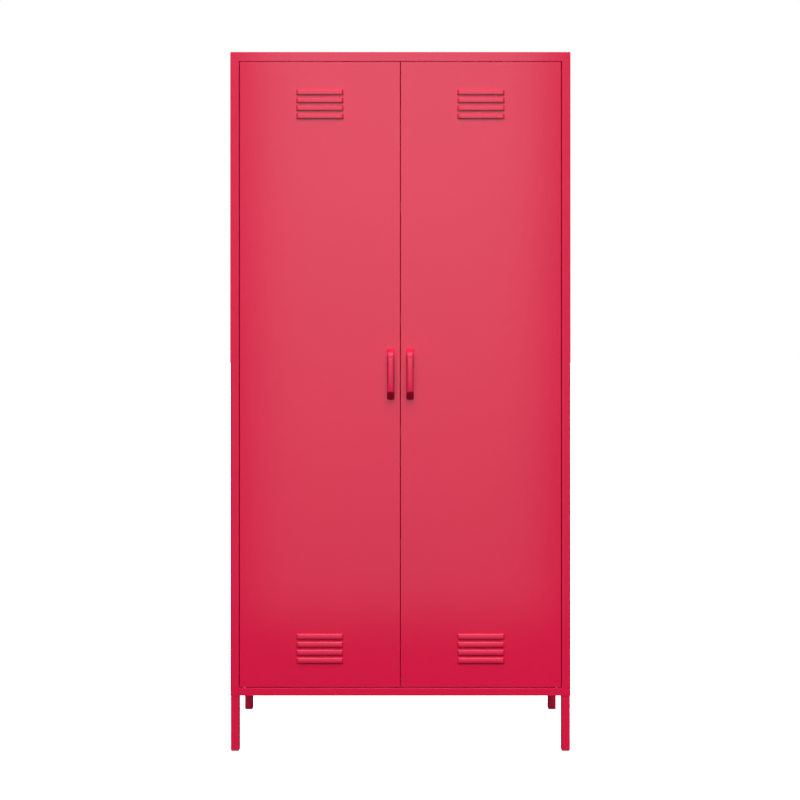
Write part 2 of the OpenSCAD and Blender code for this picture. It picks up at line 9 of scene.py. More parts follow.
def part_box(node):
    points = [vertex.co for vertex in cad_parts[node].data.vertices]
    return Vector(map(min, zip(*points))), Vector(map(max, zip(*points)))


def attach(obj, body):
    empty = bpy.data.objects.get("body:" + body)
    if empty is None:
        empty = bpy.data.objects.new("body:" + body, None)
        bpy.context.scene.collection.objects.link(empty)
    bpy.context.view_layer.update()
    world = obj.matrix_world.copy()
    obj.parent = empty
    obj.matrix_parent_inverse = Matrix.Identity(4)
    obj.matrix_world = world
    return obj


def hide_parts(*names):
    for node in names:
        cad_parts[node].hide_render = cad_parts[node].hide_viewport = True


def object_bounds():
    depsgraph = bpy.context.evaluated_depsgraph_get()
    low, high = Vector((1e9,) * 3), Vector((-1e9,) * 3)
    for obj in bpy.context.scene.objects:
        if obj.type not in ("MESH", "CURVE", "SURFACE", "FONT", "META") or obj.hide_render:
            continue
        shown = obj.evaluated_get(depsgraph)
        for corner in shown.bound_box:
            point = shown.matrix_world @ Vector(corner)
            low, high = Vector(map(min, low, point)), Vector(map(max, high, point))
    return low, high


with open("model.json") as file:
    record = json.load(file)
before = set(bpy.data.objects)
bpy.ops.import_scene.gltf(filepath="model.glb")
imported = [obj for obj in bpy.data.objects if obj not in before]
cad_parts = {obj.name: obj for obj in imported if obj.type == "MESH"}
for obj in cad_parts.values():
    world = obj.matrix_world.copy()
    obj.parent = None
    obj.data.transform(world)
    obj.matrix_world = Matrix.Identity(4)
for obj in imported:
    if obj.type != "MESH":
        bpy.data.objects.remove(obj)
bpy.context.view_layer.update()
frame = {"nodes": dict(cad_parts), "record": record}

# A two-door steel locker cabinet. The frame holds its sizes; this script builds its visible sheet
# metal with real bends, pressed louvres and rounded handles, and finishes every surface.
# Lengths are in metres. +X is to the right, +Y to the back, +Z up.

MM = 0.001
SIDES = ("left", "right")

# Meshing: points closer than these are one, and how far a mitre or an arc may go
SAME = 1e-6
CLOSE = 0.02 * MM
MITRE_LIMIT = 0.5
ARC_SHARE = 0.49
SMOOTH_ANGLE = math.radians(40)

# Sheet metal
SHEET = 1 * MM
BEND = 1.2 * MM
SMALL_BEND = 1 * MM
BEND_STEPS = 5

# Doors and louvres
DOOR_RETURN = 12 * MM
LOUVRES_PER_GROUP = 4
LOUVRE_W = 124 * MM
LOUVRE_H = 14 * MM
LOUVRE_PITCH = 21 * MM
LOUVRE_REACH = 4.3 * MM
LOUVRE_RISE = 4 * MM
LOUVRE_END = 4.5 * MM
LOUVRE_MARGIN = 0.8 * MM
UPPER_LOUVRE_DROP = 73 * MM
LOWER_LOUVRE_RISE = 65 * MM
LOUVRE_LEAN = 0.05
LOUVRE_STEPS = 8

# Each visible door is this much larger on every edge, so that its gaps look as thin as in the photo
DOOR_SPREAD = 0.25 * MM

# Return flanges of the other folded parts
TOP_FRONT_RETURN = 44 * MM
TOP_RETURN = 24 * MM
SHELF_RETURN = 12 * MM
UPRIGHT_RETURN = 17 * MM
REAR_FLANGE = 20 * MM

SHELF_COUNT = 4

# Handles: outlines as (out from the door, up from the handle's lower end), in millimetres
HANDLE_OUTER = [(0, 0), (25, 18), (30, 23), (30, 121), (25, 127), (0, 136)]
HANDLE_INNER = [(0, 116), (16, 110), (20, 104), (20, 32), (16, 26), (0, 20)]
HANDLE_BEND = 4 * MM
HANDLE_EDGE = 3.5 * MM
HANDLE_GRAIN = 1.5 * MM
HANDLE_FOOT = 0.3 * MM
HANDLE_EDGE_STEPS = 5
HANDLE_SLICES = 8
HANDLE_ROUND_STEPS = 8
HANDLE_SMOOTH_ANGLE = math.radians(50)
# The width at the middle as a share of the full width, the share of the half height at which it is
# full, and the share of that at which it starts to grow
HANDLE_WAIST = 0.9
HANDLE_FULL = 0.86
HANDLE_WIDENS = 0.55
HANDLE_CROWN = 0.35 * MM
HANDLE_BOW_RADIUS = 700 * MM
HANDLE_BOW_UP = 85 * MM
THUMB_UP = 113.5 * MM
THUMB_SIZE = (3.4 * MM, 2.1 * MM)
THUMB_DEPTH = 0.55 * MM

# Leg caps: the cup under the tube, the groove round its rim and the plug inside the tube
CAP_EDGE = 3.2 * MM
CAP_EDGE_STEPS = 4
CAP_CORNER = 3 * MM
CORNER_STEPS = 6
GROOVE_LOW = 0.9 * MM
GROOVE_HIGH = 0.6 * MM
GROOVE_DEPTH = 0.25 * MM
PLUG_INSET = 2 * MM
PLUG_SHOULDER = (2.2 * MM, 1 * MM)
PLUG_TIP_INSET = 3 * MM

# Edges of the carried-over CAD nodes
BROKEN_EDGE = 0.25 * MM
BROKEN_EDGE_SHARE = 0.1
BROKEN_EDGE_STEPS = 2
WELD_DISTANCE = 0.005 * MM
FLAT_ANGLE = math.radians(1)
EDGE_ANGLE = math.radians(35)

FACE_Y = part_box("right_side_panel")[0].y


# ---- Mesh helpers ----

def add_object(name, bm, smooth_angle=SMOOTH_ANGLE):
    """A bmesh as an object, smooth except over edges sharper than the angle."""
    mesh = bpy.data.meshes.new(name)
    bm.to_mesh(mesh)
    bm.free()
    obj = bpy.data.objects.new(name, mesh)
    bpy.context.scene.collection.objects.link(obj)
    mesh.shade_smooth()
    mesh.set_sharp_from_angle(angle=smooth_angle)
    return obj


def finish_piece(obj, body, node, material):
    """The piece stands for a CAD node, rides on its body and takes its finish."""
    obj.data.materials.append(material)
    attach(obj, body)
    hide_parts(node)


def round_corners(points, radius, steps=BEND_STEPS):
    """An open 2D path with each inner corner turned into an arc."""
    points = [Vector(p) for p in points]
    path = [points[0]]
    for before, corner, after in zip(points, points[1:], points[2:]):
        to_before = (before - corner).normalized()
        to_after = (after - corner).normalized()
        half = to_before.angle(to_after) / 2
        reach = min(radius / math.tan(half), ARC_SHARE * (before - corner).length,
                    ARC_SHARE * (after - corner).length)
        r = reach * math.tan(half)
        centre = corner + (to_before + to_after).normalized() * (r / math.sin(half))
        start = corner + to_before * reach - centre
        end = corner + to_after * reach - centre
        turn = start.angle(end)
        for i in range(steps + 1):
            t = i / steps
            path.append(centre + (start * math.sin((1 - t) * turn) + end * math.sin(t * turn))
                        / math.sin(turn))
    path.append(points[-1])
    return path


def offset_path(path, distance):
    """The path moved to its left by the distance."""
    result = []
    for i, p in enumerate(path):
        before = (p - path[i - 1]).normalized() if i > 0 else None
        after = (path[i + 1] - p).normalized() if i < len(path) - 1 else None
        first = before or after
        second = after or before
        n1 = Vector((-first.y, first.x))
        n2 = Vector((-second.y, second.x))
        middle = (n1 + n2).normalized()
        result.append(p + middle * (distance / max(middle.dot(n1), MITRE_LIMIT)))
    return result


def extrude_outline(bm, outline, low, high, place):
    """A closed outline of (a, b) points as a solid from low to high.

    place(a, b, c) gives a world point.
    """
    bottom = [bm.verts.new(place(a, b, low)) for a, b in outline]
    top = [bm.verts.new(place(a, b, high)) for a, b in outline]
    n = len(outline)
    for i in range(n):
        bm.faces.new((bottom[i], bottom[(i + 1) % n], top[(i + 1) % n], top[i]))
    bm.faces.new(bottom[::-1])
    bm.faces.new(top)


def sheet_strip(bm, path, low, high, place):
    """A bent strip of sheet. Its outer face follows the path, its thickness is to the path's left."""
    inner = offset_path(path, SHEET)
    bottom = [[bm.verts.new(place(p.x, p.y, low)) for p in line] for line in (path, inner)]
    top = [[bm.verts.new(place(p.x, p.y, high)) for p in line] for line in (path, inner)]
    for i in range(len(path) - 1):
        bm.faces.new((bottom[0][i], bottom[0][i + 1], top[0][i + 1], top[0][i]))
        bm.faces.new((top[1][i], top[1][i + 1], bottom[1][i + 1], bottom[1][i]))
        bm.faces.new((top[0][i], top[0][i + 1], top[1][i + 1], top[1][i]))
        bm.faces.new((bottom[1][i], bottom[1][i + 1], bottom[0][i + 1], bottom[0][i]))
    for i in (0, -1):
        bm.faces.new((bottom[0][i], top[0][i], top[1][i], bottom[1][i]))


def add_block(bm, low, high):
    """A plain block in the mesh, such as a welded flange."""
    corners = [[low.x, high.x], [low.y, high.y]]
    outline = [(corners[0][i], corners[1][j]) for i, j in ((0, 0), (1, 0), (1, 1), (0, 1))]
    extrude_outline(bm, outline, low.z, high.z, lambda a, b, c: (a, b, c))


def keep_flats_flat(obj):
    """Large flat faces shade flat; only the bends between them shade round."""
    normals = obj.modifiers.new("flats", "WEIGHTED_NORMAL")
    normals.weight = 100
    normals.keep_sharp = True


# ---- Folded pans: a flat with bent edges, flanges and returns ----

class Louvre:
    """One pressed louvre, centred on u, its lip at height v."""

    def __init__(self, u, v):
        self.u = u
        self.v = v

    def rise(self, u, v):
        """How far the hood stands out at (u, v), on the hood's side of the lip."""
        up = v - self.v
        along = LOUVRE_W / 2 - abs(u - self.u)
        if not (0 <= up <= LOUVRE_H and along > 0):
            return 0.0
        lean = 1 - LOUVRE_LEAN + LOUVRE_LEAN * (1 - up / LOUVRE_H)
        crown = rounded((LOUVRE_H - up) / LOUVRE_RISE)
        return LOUVRE_REACH * lean * crown * rounded(along / LOUVRE_END)

    def v_lines(self):
        """The heights at which the door's mesh needs a line for this louvre."""
        curve = [LOUVRE_H - s for s in quarter_steps(LOUVRE_RISE)]
        others = [LOUVRE_H + LOUVRE_MARGIN, LOUVRE_H / 3, 0, -LOUVRE_MARGIN]
        return [self.v + s for s in curve + others]

    def u_lines(self):
        """The same across the door."""
        left = [self.u - LOUVRE_W / 2 + s for s in quarter_steps(LOUVRE_END) + [-LOUVRE_MARGIN]]
        return left + [2 * self.u - u for u in left]


def rounded(t):
    """A quarter round: climbs steeply from 0 and levels out at 1."""
    return math.sqrt(1 - (1 - min(max(t, 0), 1)) ** 2)


def quarter_steps(length, count=LOUVRE_STEPS):
    """Distances along a quarter round that turn by equal angles."""
    return [length * (1 - math.cos(math.pi / 2 * i / count)) for i in range(count + 1)]


def smooth_step(t):
    """Rises from 0 to 1, level at both ends."""
    t = min(max(t, 0), 1)
    return t * t * (3 - 2 * t)


def distinct(values):
    """Sorted values, without near copies."""
    result = []
    for value in sorted(values):
        if not result or value - result[-1] > SAME:
            result.append(value)
    return result


def folded_pan(name, low, high, depth, returns, place, louvres=(), bend=BEND):
    """A pan: its flat spans low to high in (u, v), its flanges go back by depth.

    returns are the widths of the return flanges at low u, high u, low v and high v. place(u, v, w)
    gives a world point, with w the depth behind the flat.
    """
    us = distinct([low[0] + bend, high[0] - bend] + [u for l in louvres for u in l.u_lines()])
    vs = distinct([low[1] + bend, high[1] - bend] + [v for l in louvres for v in l.v_lines()])
    lips = {min(range(len(vs)), key=lambda j: abs(vs[j] - l.v)): l for l in louvres}
    bm = bmesh.new()

    def flat_vert(u, v, lift):
        return bm.verts.new(place(u, v, -lift))

    above = {}
    below = {}
    for j, v in enumerate(vs):
        near = [l for l in louvres if -SAME <= v - l.v <= LOUVRE_H + SAME]
        for i, u in enumerate(us):
            lift = max([l.rise(u, max(v, l.v)) for l in near], default=0)
            above[i, j] = flat_vert(u, v, lift)
            below[i, j] = above[i, j]
            if j in lips and lift > 0:
                below[i, j] = flat_vert(u, v, 0)
    for j in range(len(vs) - 1):
        for i in range(len(us) - 1):
            bm.faces.new((above[i, j], above[i + 1, j], below[i + 1, j + 1], below[i, j + 1]))

    border = ([(i, 0) for i in range(len(us) - 1)]
              + [(len(us) - 1, j) for j in range(len(vs) - 1)]
              + [(i, len(vs) - 1) for i in range(len(us) - 1, 0, -1)]
              + [(0, j) for j in range(len(vs) - 1, 0, -1)])
    spokes = border_spokes(border, len(us), len(vs))
    ring = [above[i, j] for i, j, _ in spokes]
    for grow, back, inward in pan_profile(depth, bend):
        points = []
        for i, j, way in spokes:
            u = us[i] + way.x * grow
            v = vs[j] + way.y * grow
            u = min(max(u, low[0] + returns[0] * inward), high[0] - returns[1] * inward)
            v = min(max(v, low[1] + returns[2] * inward), high[1] - returns[3] * inward)
            points.append(bm.verts.new(place(u, v, back)))
        for k in range(len(ring)):
            n = (k + 1) % len(ring)
            quad = [ring[k], ring[n], points[n], points[k]]
            if len(set(quad)) == 4:
                bm.faces.new(quad)
            elif len(set(quad)) == 3:
                bm.faces.new(list(dict.fromkeys(quad)))
        ring = points
    bmesh.ops.remove_doubles(bm, verts=bm.verts, dist=CLOSE)
    bmesh.ops.dissolve_degenerate(bm, edges=bm.edges, dist=CLOSE)
    bmesh.ops.recalc_face_normals(bm, faces=bm.faces)
    face_outwards(bm, place)
    obj = add_object(name, bm)
    thicken = obj.modifiers.new("sheet", "SOLIDIFY")
    thicken.thickness = SHEET
    thicken.offset = -1
    keep_flats_flat(obj)
    return obj


def border_spokes(border, u_count, v_count):
    """(i, j, direction) round the border; each corner fans out over its quarter turn."""
    spokes = []
    for i, j in border:
        across = -1 if i == 0 else 1 if i == u_count - 1 else 0
        along = -1 if j == 0 else 1 if j == v_count - 1 else 0
        if across and along:
            first, second = Vector((across, 0)), Vector((0, along))
            if across * along < 0:
                first, second = second, first
            for k in range(BEND_STEPS + 1):
                turn = math.pi / 2 * k / BEND_STEPS
                spokes.append((i, j, first * math.cos(turn) + second * math.sin(turn)))
        else:
            spokes.append((i, j, Vector((across, along))))
    return spokes


def pan_profile(depth, bend):
    """(outward growth, depth, share of the return) of each ring, from the flat to the return."""
    arc = [math.pi / 2 * k / BEND_STEPS for k in range(1, BEND_STEPS + 1)]
    front = [(bend * math.sin(a), bend * (1 - math.cos(a)), 0) for a in arc]
    return front + [(bend, depth - SHEET, 0), (bend, depth, 0), (bend, depth, 1)]


def face_outwards(bm, place):
    """Turns every face round if the flat's largest face looks inwards."""
    out = Vector(place(0, 0, -1)) - Vector(place(0, 0, 0))
    flat = max(bm.faces, key=lambda f: f.calc_area())
    if flat.normal.dot(out) < 0:
        bmesh.ops.reverse_faces(bm, faces=bm.faces)


# ---- Materials ----

class Nodes:
    """A small builder for one node-based material."""

    def __init__(self, name):
        self.material = bpy.data.materials.new(name)
        self.material.use_nodes = True
        self.tree = self.material.node_tree
        self.shader = self.tree.nodes["Principled BSDF"]
        self.coords = self.tree.nodes.new("ShaderNodeTexCoord").outputs["Object"]

    def link(self, output, node, socket):
        self.tree.links.new(output, node.inputs[socket])

    def noise(self, scale, detail=2.0, roughness=0.5):
        node = self.tree.nodes.new("ShaderNodeTexNoise")
        node.inputs["Scale"].default_value = scale
        node.inputs["Detail"].default_value = detail
        node.inputs["Roughness"].default_value = roughness
        self.link(self.coords, node, "Vector")
        return node.outputs["Fac"]

    def spread(self, value, low, high, start=0.3, end=0.7):
        """The value's range start to end, mapped to low to high."""
        node = self.tree.nodes.new("ShaderNodeMapRange")
        limits = {"From Min": start, "From Max": end, "To Min": low, "To Max": high}
        for socket, number in limits.items():
            node.inputs[socket].default_value = number
        self.link(value, node, "Value")
        return node.outputs["Result"]

    def mix(self, factor, first, second):
        node = self.tree.nodes.new("ShaderNodeMix")
        node.data_type = "RGBA"
        self.link(factor, node, "Factor")
        for socket, colour in ((6, first), (7, second)):
            if isinstance(colour, tuple):
                node.inputs[socket].default_value = (*colour, 1)
            else:
                self.link(colour, node, socket)
        return node.outputs[2]

    def bump(self, height, distance, strength):
        node = self.tree.nodes.new("ShaderNodeBump")
        node.inputs["Distance"].default_value = distance
        node.inputs["Strength"].default_value = strength
        self.link(height, node, "Height")
        return node.outputs["Normal"]

    def set(self, socket, value):
        """A shader socket from a number, a colour or another node's output."""
        if isinstance(value, bpy.types.NodeSocket):
            self.link(value, self.shader, socket)
        elif isinstance(value, tuple):
            self.shader.inputs[socket].default_value = (*value, 1)
        else:
            self.shader.inputs[socket].default_value = value


def darker(colour, factor):
    return tuple(c * factor for c in colour)


def powder_coat(name, colour, roughness, peel=0.6):
    """Sprayed and baked paint: a faintly cloudy colour, a fine fleck and a shallow orange peel."""
    m = Nodes(name)
    cloud = m.spread(m.noise(scale=2.3, detail=3), 0, 1)
    fleck = m.spread(m.noise(scale=900, detail=2), 0, 1)
    tint = m.mix(cloud, darker(colour, 0.975), darker(colour, 1.02))
    deep = m.mix(cloud, darker(colour, 0.945), darker(colour, 0.985))
    m.set("Base Color", m.mix(fleck, deep, tint))
    patches = m.noise(scale=38, detail=4)
    m.set("Roughness", m.spread(patches, roughness - 0.015, roughness + 0.02))
    m.set("Normal", m.bump(m.noise(scale=420, detail=2), distance=0.012 * MM, strength=peel))
    m.set("IOR", 1.5)
    return m.material


def zinc_plate(name, colour, roughness):
    """Zinc-plated steel: a faint spangle, clouded by handling."""
    m = Nodes(name)
    spangle = m.noise(scale=350, detail=4, roughness=0.7)
    m.set("Base Color", m.mix(m.spread(spangle, 0, 1), darker(colour, 0.86), colour))
    handled = m.noise(scale=60, detail=3)
    m.set("Roughness", m.spread(handled, roughness - 0.07, roughness + 0.09))
    m.set("Metallic", 1.0)
    m.set("Normal", m.bump(m.noise(scale=2200, detail=2), distance=0.01 * MM, strength=0.6))
    return m.material


def moulded_plastic(name, colour, roughness, grain=0.6):
    """Injection-moulded plastic with a fine spark-eroded grain."""
    m = Nodes(name)
    flow = m.spread(m.noise(scale=25, detail=3), 0, 1)
    m.set("Base Color", m.mix(flow, darker(colour, 0.93), colour))
    wear = m.noise(scale=240, detail=2)
    m.set("Roughness", m.spread(wear, roughness - 0.04, roughness + 0.05))
    m.set("Normal", m.bump(m.noise(scale=1900, detail=2), distance=0.03 * MM, strength=grain))
    return m.material


CRIMSON = (0.635, 0.0075, 0.052)
HANDLE_RED = (0.66, 0.009, 0.060)
CAP_RED = (0.50, 0.009, 0.045)

PAINT = powder_coat("crimson_powder_coat", CRIMSON, 0.09)
HANDLE_PAINT = powder_coat("handle_gloss_paint", HANDLE_RED, 0.16, peel=0.3)
ZINC = zinc_plate("zinc_plated_steel", (0.66, 0.67, 0.69), 0.36)
SPRING_WIRE = zinc_plate("spring_wire", (0.50, 0.51, 0.53), 0.28)
MAGNET_STEEL = zinc_plate("ground_pole_plate", (0.40, 0.40, 0.41), 0.45)
CAP_PLASTIC = moulded_plastic("crimson_plastic", CAP_RED, 0.42)
DARK_PLASTIC = moulded_plastic("dark_grey_plastic", (0.030, 0.032, 0.036), 0.5)
NYLON = moulded_plastic("natural_nylon", (0.78, 0.78, 0.74), 0.35, grain=0.2)

# The material of each slot in the record
FINISH = {"paint": PAINT, "handle_paint": HANDLE_PAINT, "zinc_steel": ZINC,
          "spring_steel": SPRING_WIRE, "magnet_steel": MAGNET_STEEL, "cap_plastic": CAP_PLASTIC,
          "dark_plastic": DARK_PLASTIC, "nylon": NYLON}


# ---- Doors ----

def build_door(side):
    """One door pan with its louvres, free edge towards the middle of the cabinet."""
    node = f"{side}_door_panel"
    low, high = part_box(node)
    middle = (low.x + high.x) / 2
    upper = [high.z - UPPER_LOUVRE_DROP - LOUVRE_H - i * LOUVRE_PITCH
             for i in range(LOUVRES_PER_GROUP)]
    lower = [low.z + LOWER_LOUVRE_RISE + i * LOUVRE_PITCH for i in range(LOUVRES_PER_GROUP)]
    louvres = [Louvre(middle, z) for z in upper + lower]
    free_edge, hinge_edge = DOOR_RETURN, 0
    u_returns = (free_edge, hinge_edge) if side == "right" else (hinge_edge, free_edge)
    door = folded_pan(f"{side}_door_shell", (low.x - DOOR_SPREAD, low.z - DOOR_SPREAD),
                      (high.x + DOOR_SPREAD, high.z + DOOR_SPREAD), high.y - FACE_Y,
                      (*u_returns, DOOR_RETURN, DOOR_RETURN),
                      lambda u, v, w: (u, FACE_Y + w, v), louvres, bend=SMALL_BEND)
    finish_piece(door, f"{side}_door", node, PAINT)


# ---- Carcass ----

def build_top():
    """The cap: a pan that faces up, with a wider return at the front."""
    low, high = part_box("top_panel")
    top = folded_pan("top_shell", (low.x, low.y), (high.x, high.y), high.z - low.z,
                     (TOP_RETURN, TOP_RETURN, TOP_FRONT_RETURN, TOP_RETURN),
                     lambda u, v, w: (u, v, high.z - w))
    finish_piece(top, "cabinet", "top_panel", PAINT)


def build_side(side):
    """A side panel bent from one sheet: return, face flange, skin and rear flange."""
    node = f"{side}_side_panel"
    low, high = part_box(node)
    outer = high.x if side == "right" else -low.x
    inner = outer - (high.x - low.x)
    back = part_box("right_back_panel")[0].y
    path = round_corners([(inner, FACE_Y + UPRIGHT_RETURN), (inner, FACE_Y), (outer, FACE_Y),
                          (outer, back), (outer - REAR_FLANGE, back)], BEND)
    sign = 1 if side == "right" else -1
    bm = bmesh.new()
    sheet_strip(bm, path, low.z, high.z, lambda a, b, c: (sign * a, b, c))
    floor_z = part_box("bottom_panel")[1].z
    for z in (high.z - SHEET, floor_z - 2 * SHEET):
        xs = sorted((sign * (inner + SHEET), sign * (outer - SHEET)))
        add_block(bm, Vector((xs[0], FACE_Y + SHEET, z)), Vector((xs[1], back - SHEET, z + SHEET)))
    bmesh.ops.recalc_face_normals(bm, faces=bm.faces)
    panel = add_object(f"{side}_side_shell", bm)
    keep_flats_flat(panel)
    finish_piece(panel, "cabinet", node, PAINT)


def build_bottom():
    """The floor: bent front edge with its return, flat and rear edge."""
    low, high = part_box("bottom_panel")
    upright_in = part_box("right_side_panel")[0].x
    path = round_corners([(FACE_Y + UPRIGHT_RETURN, low.z), (FACE_Y, low.z), (FACE_Y, high.z),
                          (high.y, high.z), (high.y, low.z)], SMALL_BEND)
    bm = bmesh.new()
    sheet_strip(bm, path[::-1], -upright_in, upright_in, lambda a, b, c: (c, a, b))
    for xs in ((low.x, -upright_in), (upright_in, high.x)):
        add_block(bm, Vector((xs[0], FACE_Y + SHEET, high.z - SHEET)),
                  Vector((xs[1], high.y, high.z)))
    bmesh.ops.recalc_face_normals(bm, faces=bm.faces)
    panel = add_object("bottom_shell", bm)
    keep_flats_flat(panel)
    finish_piece(panel, "cabinet", "bottom_panel", PAINT)


def build_shelves():
    """Each shelf is a pan that faces up."""
    for number in range(1, SHELF_COUNT + 1):
        node = f"shelf_{number}"
        low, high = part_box(node)
        shelf = folded_pan(f"{node}_shell", (low.x, low.y), (high.x, high.y), high.z - low.z,
                           (SHELF_RETURN,) * 4, lambda u, v, w: (u, v, high.z - w))
        finish_piece(shelf, "cabinet", node, PAINT)


# ---- Handles and feet ----

def subdivided(loop, longest):
    """The closed outline with every stretch cut into pieces no longer than the given length."""
    points = []
    for p, following in zip(loop, loop[1:] + loop[:1]):
        count = max(1, math.ceil((following - p).length / longest))
        points += [p.lerp(following, k / count) for k in range(count)]
    return points


def shrunk(loop, distance):
    """The closed outline moved inwards, its foot kept just under the door's face."""
    result = []
    for i, p in enumerate(loop):
        way_in = (p - loop[i - 1]).normalized()
        way_out = (loop[(i + 1) % len(loop)] - p).normalized()
        normals = [Vector((-w.y, w.x)) for w in (way_in, way_out)]
        middle = (normals[0] + normals[1]).normalized()
        moved = p + middle * (distance / max(middle.dot(normals[0]), MITRE_LIMIT))
        out = -HANDLE_FOOT if p.x < 0.01 * MM else max(moved.x, -HANDLE_FOOT)
        result.append(Vector((out, moved.y)))
    return result


def handle_slices(half):
    """(across, edge rounding) from one side of a handle to the other."""
    turns = [math.pi / 2 * k / HANDLE_EDGE_STEPS for k in range(HANDLE_EDGE_STEPS, 0, -1)]
    edge = [(half - HANDLE_EDGE * (1 - math.sin(a)), HANDLE_EDGE * (1 - math.cos(a))) for a in turns]
    flat = [((half - HANDLE_EDGE) * (1 - 2 * k / HANDLE_SLICES), 0)
            for k in range(HANDLE_SLICES + 1)]
    return edge + flat + [(-across, cut) for across, cut in edge[::-1]]


def build_handle(side):
    """A moulded pull: waisted, bowed and crowned, its edges rounded, with a small thumb hollow."""
    node = f"{side}_handle"
    low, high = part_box(node)
    middle = (low.x + high.x) / 2
    half = (high.x - low.x) / 2
    height = high.z - low.z
    outer = round_corners([Vector(p) * MM for p in HANDLE_OUTER], HANDLE_BEND, HANDLE_ROUND_STEPS)
    inner = round_corners([Vector(p) * MM for p in HANDLE_INNER], HANDLE_BEND, HANDLE_ROUND_STEPS)
    outline = subdivided(outer + inner, HANDLE_GRAIN)
    front = max(p.x for p in outline)

    def place(p, across):
        ends = min(abs(2 * p.y / height - 1) / HANDLE_FULL, 1)
        widening = smooth_step(max(ends - HANDLE_WIDENS, 0) / (1 - HANDLE_WIDENS))
        waist = HANDLE_WAIST + (1 - HANDLE_WAIST) * widening
        bow = (p.y - HANDLE_BOW_UP) ** 2 / (2 * HANDLE_BOW_RADIUS)
        out = p.x - (bow + HANDLE_CROWN * (across / half) ** 2) * p.x / front
        if p.x > front - HANDLE_EDGE - HANDLE_BEND:
            off = ((across / THUMB_SIZE[0]) ** 2 + ((p.y - THUMB_UP) / THUMB_SIZE[1]) ** 2)
            out -= THUMB_DEPTH * math.exp(-off)
        return (middle + across * waist, FACE_Y - out, low.z + p.y)

    bm = bmesh.new()
    loops = [[bm.verts.new(place(p, across)) for p in shrunk(outline, cut)]
             for across, cut in handle_slices(half)]
    for first, second in zip(loops, loops[1:]):
        for i in range(len(first)):
            n = (i + 1) % len(first)
            bm.faces.new((first[i], first[n], second[n], second[i]))
    bm.faces.new(loops[0][::-1])
    bm.faces.new(loops[-1])
    bmesh.ops.recalc_face_normals(bm, faces=bm.faces)
    handle = add_object(f"{side}_pull", bm, HANDLE_SMOOTH_ANGLE)
    finish_piece(handle, f"{side}_door", node, HANDLE_PAINT)


def rounded_square(half, radius):
    """Points round a square with round corners."""
    points = []
    for quarter in range(4):
        centre = Vector((half - radius, half - radius))
        for k in range(CORNER_STEPS + 1):
            turn = math.pi / 2 * (k / CORNER_STEPS)
            p = centre + radius * Vector((math.cos(turn), math.sin(turn)))
            a = quarter * math.pi / 2
            points.append(Vector((p.x * math.cos(a) - p.y * math.sin(a),
                                  p.x * math.sin(a) + p.y * math.cos(a))))
    return points


def build_leg_cap(place_name):
    """A moulded cap: rounded underneath, with a thin shadow groove where the tube sits on it."""
    node = f"{place_name}_leg_cap"
    low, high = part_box(node)
    centre = (low + high) / 2
    half = (high.x - low.x) / 2
    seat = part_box(f"{place_name}_leg")[0].z
    rings = []
    for k in range(CAP_EDGE_STEPS + 1):
        turn = math.pi / 2 * k / CAP_EDGE_STEPS
        rings.append((half - CAP_EDGE * (1 - math.sin(turn)), CAP_EDGE * (1 - math.cos(turn))))
    groove = half - GROOVE_DEPTH
    rings += [(half, seat - GROOVE_LOW), (groove, seat - GROOVE_HIGH), (groove, seat)]
    rings += [(half - PLUG_INSET, seat), (half - PLUG_SHOULDER[0], high.z - PLUG_SHOULDER[1]),
              (half - PLUG_TIP_INSET, high.z)]
    bm = bmesh.new()
    loops = []
    for size, z in rings:
        corner = min(CAP_CORNER, size)
        loops.append([bm.verts.new((centre.x + p.x, centre.y + p.y, z))
                      for p in rounded_square(size, corner)])
    for first, second in zip(loops, loops[1:]):
        for i in range(len(first)):
            n = (i + 1) % len(first)
            bm.faces.new((first[i], first[n], second[n], second[i]))
    bm.faces.new(loops[0][::-1])
    bm.faces.new(loops[-1])
    bmesh.ops.recalc_face_normals(bm, faces=bm.faces)
    cap = add_object(f"{place_name}_foot_cap", bm)
    finish_piece(cap, "cabinet", node, CAP_PLASTIC)


# ---- Carried-over CAD nodes ----

def break_edges(obj):
    """Slightly rounds a CAD node's edges, so that they catch the light."""
    weld = obj.modifiers.new("weld", "WELD")
    weld.merge_threshold = WELD_DISTANCE
    planar = obj.modifiers.new("planar", "DECIMATE")
    planar.decimate_type = "DISSOLVE"
    planar.angle_limit = FLAT_ANGLE
    low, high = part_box(obj.name)
    bevel = obj.modifiers.new("edges", "BEVEL")
    bevel.width = min(BROKEN_EDGE, BROKEN_EDGE_SHARE * min(high - low))
    bevel.segments = BROKEN_EDGE_STEPS
    bevel.limit_method = "ANGLE"
    bevel.angle_limit = EDGE_ANGLE
    bevel.harden_normals = True
    obj.modifiers.new("normals", "WEIGHTED_NORMAL").keep_sharp = True


def dress_cad_nodes():
    """Every CAD node gets its slot's finish, and all but the springs slightly broken edges."""
    slots = {s["node"]: s["material_slot"] for s in frame["record"]["subparts"]}
    for name, obj in frame["nodes"].items():
        obj.data.materials.clear()
        obj.data.materials.append(FINISH[slots[name]])
        if slots[name] != "spring_steel":
            break_edges(obj)


# ---- Stage ----

# The floor: half its width in metres, its two greys, roughness and glow
FLOOR_HALF = 14
FLOOR_GREYS = ((0.93, 0.93, 0.93), (0.95, 0.95, 0.95))
FLOOR_ROUGHNESS = 0.9
FLOOR_GLOW = 1.0


